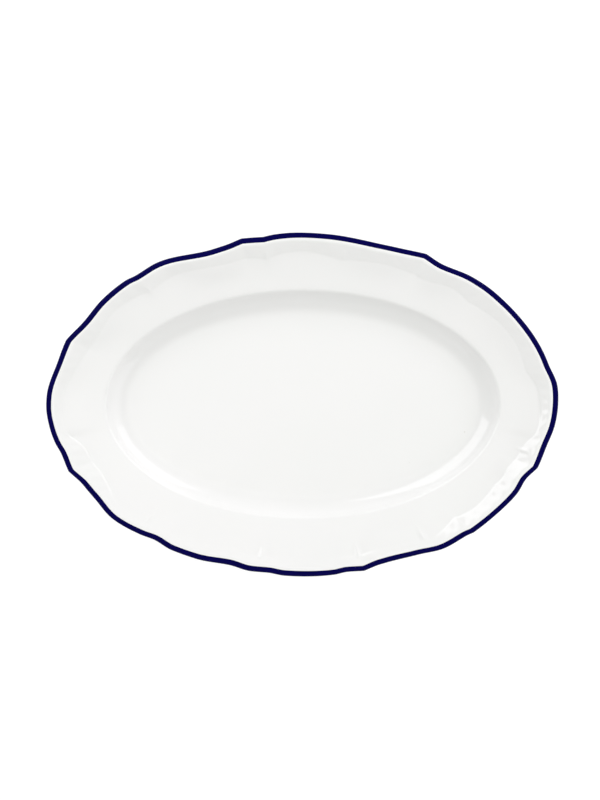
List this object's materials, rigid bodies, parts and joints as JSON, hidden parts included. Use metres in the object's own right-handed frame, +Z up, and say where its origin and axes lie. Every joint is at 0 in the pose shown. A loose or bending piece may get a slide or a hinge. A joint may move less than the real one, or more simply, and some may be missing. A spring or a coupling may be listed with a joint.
{
  "type": "china serving platter",
  "caption": "Oval white china serving platter with a sunken flat well, a broad rim, a moulded scalloped border edged with a cobalt line, and an oval foot ring.",
  "frame": {"origin": "on the table plane, under the middle of the platter's outline", "axes": "+X along the platter's length, +Y across it, +Z up, with the foot ring on z = 0"},
  "size_m": [0.34, 0.2284, 0.0287],
  "materials": {
    "white_glazed_porcelain": "clear, glossy, faintly warm white glaze",
    "unglazed_foot": "bare fired china, matt, slightly greyed where it has stood",
    "cobalt_enamel": "hand-laid dark cobalt enamel under a glossy glaze"
  },
  "bodies": {
    "root": {"platter_body": "white_glazed_porcelain", "foot_ring": "unglazed_foot", "rim_line": "cobalt_enamel"}
  },
  "joints": []
}
